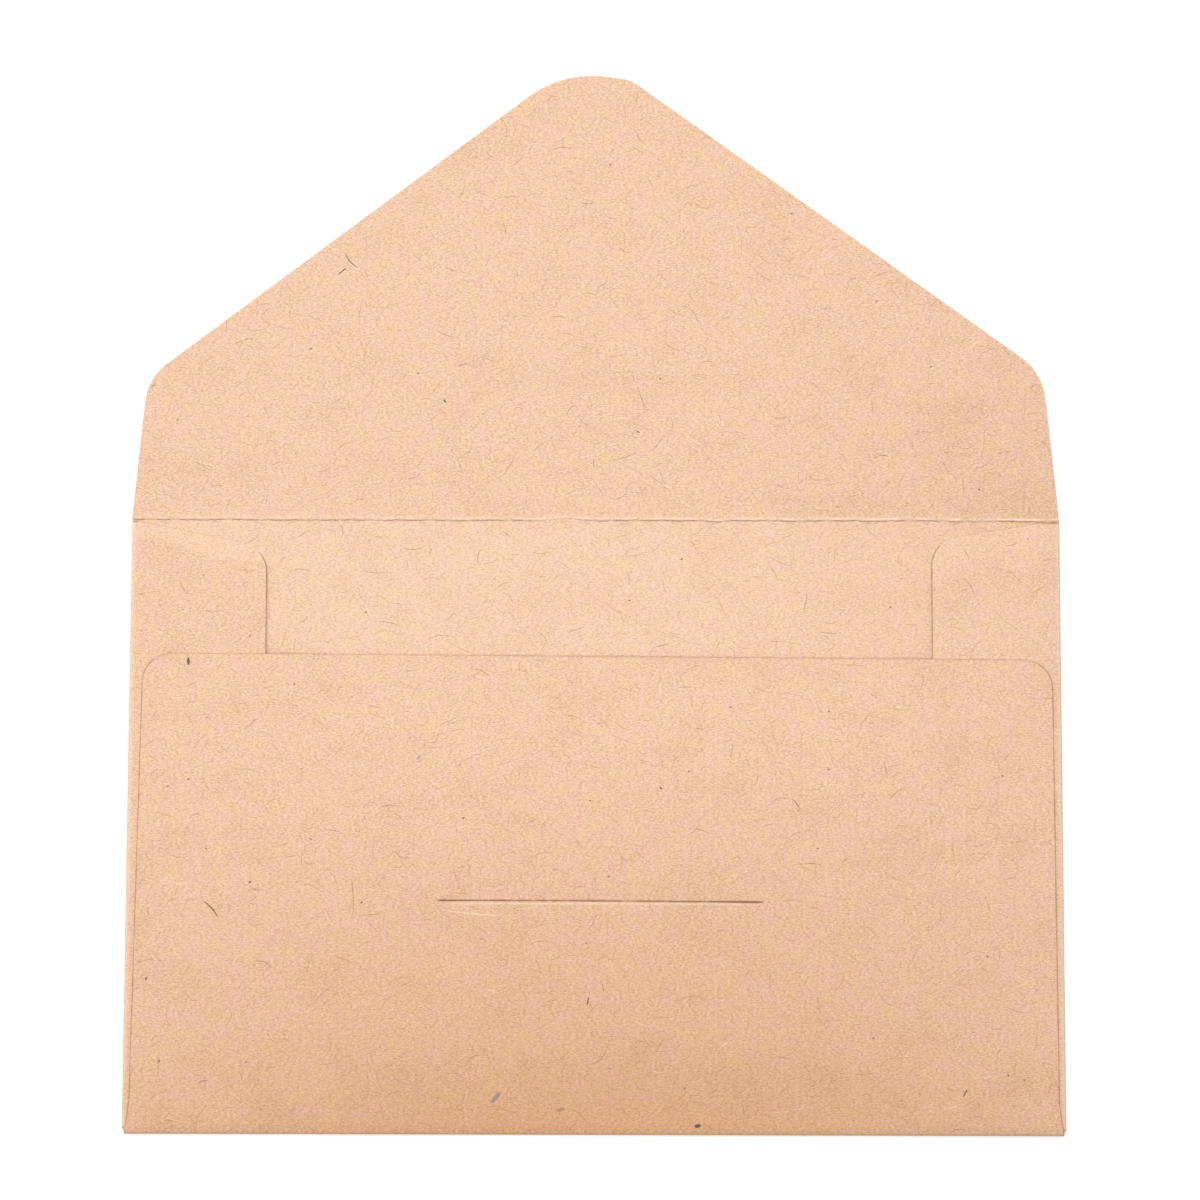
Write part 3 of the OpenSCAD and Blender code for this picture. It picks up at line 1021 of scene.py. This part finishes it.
# %% [markdown]
# A mark is a short line or speck of ink, umber, brown or blue-grey. Its group gets the place
# in the mark's own frame, where the mark reaches from -1 to 1 along and across, bends that
# frame by the bow, and keeps an ellipse in it. So the mark tapers to both ends, as a hair does.

# %% A shader group that draws a mark
mark_tree, given, finish = new_tree("one_mark", "Shader", {"Frame": "Vector"}, ["Mark"])
along, across, bow = split(given["Frame"])
along_squared = along * along
off_line = along_squared.calc("MULTIPLY_ADD", bow, across)
give_out(finish, {"Mark": (along_squared + off_line * off_line).ramp(1.0, 0.35)})
count("mark group", mark_tree)

# %% [markdown]
# The paper's material starts from the place on the flat sheet, which the mesh carries. The
# outer face reads the patterns far away from the inner one, so that the two faces differ.

# %% Begin the paper's material
kraft = bpy.data.materials.new("kraft_paper")
kraft.use_nodes = True
paper_tree = kraft.node_tree
skin = paper_tree.nodes["Principled BSDF"]
as_colour, as_vector, as_number, as_alpha = range(4)


def carried(name, kind=as_number):
    """What the mesh carries under that name, read as a colour, a vector, a number or an alpha."""
    return put(paper_tree, "ShaderNodeAttribute", out=kind, attribute_name=name)


face_gap = Vector((170.0, 230.0, 0.0))
on_sheet = carried("on_sheet", as_vector)
sheet_u, sheet_v, face = split(on_sheet)
sheet_place = vector("ADD", on_sheet, vector("SCALE", face_gap, face))
outer = face.below(0.0)
count("paper material begun", paper_tree)

# %% [markdown]
# The ground is three tones that run into each other over two or three millimetres. The felt
# and three layers of loose fibres are laid over it in turn, each a colour and a mask. One
# picture of paper would be quicker, but it would repeat, and it would blur close by.

# %% Mix the paper's ground
colours = {
    "ground": (0.700, 0.460, 0.315),
    "ochre": (0.715, 0.482, 0.268),
    "rose": (0.735, 0.450, 0.365),
    "deep": (0.655, 0.415, 0.265),
    "light": (0.860, 0.665, 0.500),
    "dark": (0.365, 0.185, 0.103),
    "warm": (0.770, 0.625, 0.475),
}
coats = [(*colours["ground"], 1)]


def lay(top, amount, how="MIX"):
    """Lays a named colour or a wire over the coats so far, or tints them, by 0 to 1."""
    top = top if isinstance(top, Wire) else (*colours[top], 1)
    values = {0: amount, 6: coats[-1], 7: top}
    coats.append(put(paper_tree, "ShaderNodeMix", values, out=2, data_type="RGBA", blend_type=how))


hue = sheet_noise(sheet_place, 2.6, 61, stretch=1.3, detail=2.0)
depth = sheet_noise(sheet_place, 8.0, 62, stretch=1.3, detail=3.0)
lay("ochre", hue.ramp(0.48, 0.8) * 0.8)
lay("rose", hue.ramp(0.52, 0.2) * 0.8)
lay("deep", depth.ramp(0.45, 0.8) * 0.6)
felt = place_group(paper_tree, felt_tree, {"Place": sheet_place, "Sharpness": 14.0})
lay("light", felt["Light"] * 0.5)
lay("dark", felt["Dark"] * depth.ramp(0.3, 0.65, 0.38, 0.52))
lay("dark", (felt["Grain"] * 0.58).larger(0.0))
lay("light", (felt["Grain"] * -0.95).larger(0.0))
count("paper ground", paper_tree)

# %% Lay the loose fibres on the paper
# Tone, strength, and then the group's inputs in their order, from the cells on.
fibre_layers = [
    ("light", 0.40, 0.80, 0.7, 0.09, 1.0, 0.9, (13, 8, 0)),
    ("dark", 0.36, 0.85, 0.7, 0.08, 1.2, 0.8, (27, 3, 0)),
    ("dark", 0.50, 0.42, 1.4, 0.08, 1.1, 0.9, (41, 5, 0)),
]
for tone, amount, *values in fibre_layers:
    layer = place_group(paper_tree, fibre_tree, dict(zip(fibre_inputs, (sheet_place, *values))))
    lay(tone, layer["Fibre"] * (layer["Shade"] * 0.7 + 0.3) * amount)
count("with loose fibres", paper_tree)

# %% [markdown]
# The outer face is a shade warmer than the inner one. The back panel gets painted shade,
# warmer and deeper towards the bottom fold and its middle, where the lamps' light falls off,
# and the flap's right corner gets the same painted shade. This is a tint and not a coat: it
# multiplies the colour, so the fibres under it keep their own tones. The throat and the right
# side flap get painted light, so they are a little paler.

# %% Tint in painted shade on the back panel and the flap's corner, and painted light
middle = (sheet_u * sheet_u * (0.8 / half_w**2)).less_from(1.15)
from_foot = sheet_v.unsigned()
# Painted shade: the back panel darkens towards the bottom fold and its middle, and the flap's right corner
# darkens, where the lamps' light falls off. The outer face also gets a slight even tint.
outer_tint_and_painted_shade = (from_foot.ramp(80.0, -12.0) * middle + from_foot.ramp(24.0, 0.0) * 0.3 + 0.14) * outer
flap_corner_shade = sheet_u.ramp(10.0, 70.0) * sheet_v.ramp(145.0, 110.0) * 0.22
tint, throat_fill_light, right_flap_fill_light = 0.52, 0.08, 0.13
lay("warm", outer_tint_and_painted_shade.larger(flap_corner_shade * face) * tint, "MULTIPLY")
# Painted light: the throat and the right side flap are made a little paler, lifting shade that falls deeper
# there.
painted_fill_light = sheet_v.below(body_h) * face * throat_fill_light + sheet_u.above(half_w) * outer * right_flap_fill_light
lay("light", painted_fill_light)
count("with tints", paper_tree)

# %% [markdown]
# The marks come after the tint, so it doesn't change them. The mesh carries
# each mark's frame and tone, so the material only draws the line and lays the tone over it.
# A picture of the marks would have to be huge to be as sharp.

# %% Draw the marks and hairs
mark = place_group(paper_tree, mark_tree, {"Frame": carried("mark_place", as_vector)})["Mark"]
lay(carried("mark_tone", as_colour), mark * carried("mark_tone", as_alpha))
count("with marks", paper_tree)

# %% [markdown]
# Where the paper was scored and folded its fibres are crushed. The crease has a dark thread,
# partly crushed fibres and partly painted shade on the groove's side away from the lamps, with
# a painted highlight on the bead beside it, stronger towards the right. The ends of the side
# flaps get a painted highlight where their pressed slope faces the low lamp, the folds get
# painted light where they curve away from the lamps, the lip below the slit gets a painted
# highlight, and every die-cut rim has a brown thread, partly the darker cut fibres and partly
# painted shade. Each is a mask worked out from the place on the sheet, so it sits on the same
# line as the form that the folding tree gives it.

# %% Colour the crease, with painted shade and a painted highlight
crush = sheet_noise(sheet_place, 2.2, 71, detail=1.0)
frayed = sheet_noise(sheet_place, 1.1, 72, detail=1.0) - 0.5
to_right = sheet_u.ramp(-20.0, 45.0, 0.6, 1.0)
from_thread = carried("from_thread") + frayed * 0.3
frayed_out = (sheet_u + 6.0).bell(4.5).less_from(1.0)
thread_width, bead_width, bead_off = 0.11, 0.17, 0.33
# The dark thread is partly crushed fibres and partly painted shade of the crease's groove. The pale bead
# beside it is a painted highlight on its ridge.
thread = from_thread.bell(thread_width) * crush.ramp(0.3, 0.55, 0.35, 1.0) * frayed_out
second_thread = (from_thread + frayed * 0.5 + 0.4).bell(0.085) * crush.ramp(0.5, 0.62)
bead = (from_thread - bead_off - frayed * 0.5).bell(bead_width) * crush.ramp(0.35, 0.6, 0.35, 0.9)
lay("light", bead * to_right)
lay("dark", thread.larger(second_thread * 0.5))
count("with crease", paper_tree)

# %% Paint highlights on the pressed ends of the side flaps
u_out = sheet_u.unsigned()
on_right = sheet_u.above(0.0)
inwards = u_out.less_from(2 * flat_x + side_arc).less_from(half_w)
past_land = (inwards - by_side(on_right, side_land)).larger(0.0)
from_end = (past_land * by_side(on_right, side_slope) + sheet_v).less_from(body_h - fold_relief)
on_side = u_out.above(flat_x + side_arc * 0.5)
# Painted highlight: a pale band where each flap's pressed end slopes towards the low lamp, and a brighter
# line along the very end.
end_highlight_band = (from_end + (depth - 0.5) * 4.0).ramp(3.7, 2.7) * on_side * (on_right * -0.7 + 1.0)
end_edge_highlight = (from_end - 0.2).bell(0.2) * on_side * (on_right * -0.5 + 1.0)
end_highlight_strength, edge_highlight_strength = 0.13, 0.08
lay("light", end_highlight_band * end_highlight_strength)
lay("light", end_edge_highlight * edge_highlight_strength)
count("with pressed ends", paper_tree)

# %% Paint light on the folds and the slit's lip, and dark rims partly as painted shade
# Painted light on the side and bottom folds, which curve away from the lamps, and a painted highlight on the
# raised lip below the slit.
side_fold_light = (u_out - (flat_x + side_arc * 0.6)).bell(0.7) * sheet_v.below(body_h - fold_relief)
foot_fold_light = (sheet_v - (flat_y - bottom_arc * 0.7)).bell(0.6)
along_slit = (sheet_u - slit_x).unsigned().ramp(slit_l / 2, slit_l / 2 - 4)
lip_highlight = (sheet_v - slit_v - 0.5).bell(0.22) * along_slit
fold_and_lip_highlight = side_fold_light.larger(foot_fold_light * 0.1).larger(lip_highlight * 0.6)
fold_light_strength, cut_edge_dark_and_shade = 0.45, 0.35
lay("light", fold_and_lip_highlight * outer * fold_light_strength)

at_slant = past_land.above(0.0) * from_end.below(1.0) * on_side
at_top = sheet_v.ramp(unfold_back(79.5), unfold_back(81.0)) * 0.45
# The brown rim thread and the darker cut edge faces are partly the cut fibres' own colour and partly painted
# shade along each edge.
rim_thread_and_shade = carried("from_cut").ramp(0.26, 0.05) * crush.ramp(0.3, 0.6, 0.6, 1.0) * outer
lay("dark", rim_thread_and_shade * (at_slant + at_top).less_from(1.0).larger(0.0))
lay("dark", carried("cut_edge") * cut_edge_dark_and_shade)
count("with folds and rims", paper_tree)

# %% [markdown]
# Kraft paper is matt, and only its pale strands catch a little light. The felt stands up by a
# hundredth of a millimetre: far too fine for the mesh, so a Bump node shades it instead.

# %% Finish the paper's surface
felt_height = 0.010 * MM
plug(paper_tree, skin.inputs["Base Color"], coats[-1])
height = felt["Light"] - felt["Dark"] + felt["Grain"]
relief = put(paper_tree, "ShaderNodeBump", {"Strength": 1.0, "Distance": felt_height, "Height": height})
plug(paper_tree, skin.inputs["Normal"], relief)
matt, strand_shine = 0.88, -0.08
plug(paper_tree, skin.inputs["Roughness"], felt["Light"] * strand_shine + matt)
skin.inputs["Specular IOR Level"].default_value = 0.3
count("paper material", paper_tree)

# %% [markdown]
# Now the folding tree goes on the blank as a modifier. It could stay live, but a plain mesh
# exports as it is seen, so the folded result is taken off and the flat blank is thrown away.

# %% Fold the blank
modifier = blank.modifiers.new("fold", "NODES")
modifier.node_group = fold_tree
modifier_values = {**fold_sizes, "Paper": kraft}
for item in fold_tree.interface.items_tree:
    if item.in_out == "INPUT" and item.name in modifier_values:
        modifier[item.identifier] = modifier_values[item.name]
depsgraph = bpy.context.evaluated_depsgraph_get()
sheet_mesh = bpy.data.meshes.new_from_object(blank.evaluated_get(depsgraph), depsgraph=depsgraph)
bpy.data.objects.remove(blank)
sheet = add_object("folded_sheet", sheet_mesh)
heights = np.array([vertex.co.z for vertex in sheet_mesh.vertices]) / MM
print("folded sheet:", len(sheet_mesh.polygons), "faces, up to", round(heights.max(), 3), "mm high")

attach(sheet, body_name)
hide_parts(node_name)

# %% [markdown]
# The box of the solid, kept from the start, is printed.

# %% Print the solid's box and finish
print("solid in mm ", [round(c / MM, 3) for c in (*cad_low, *cad_high)])
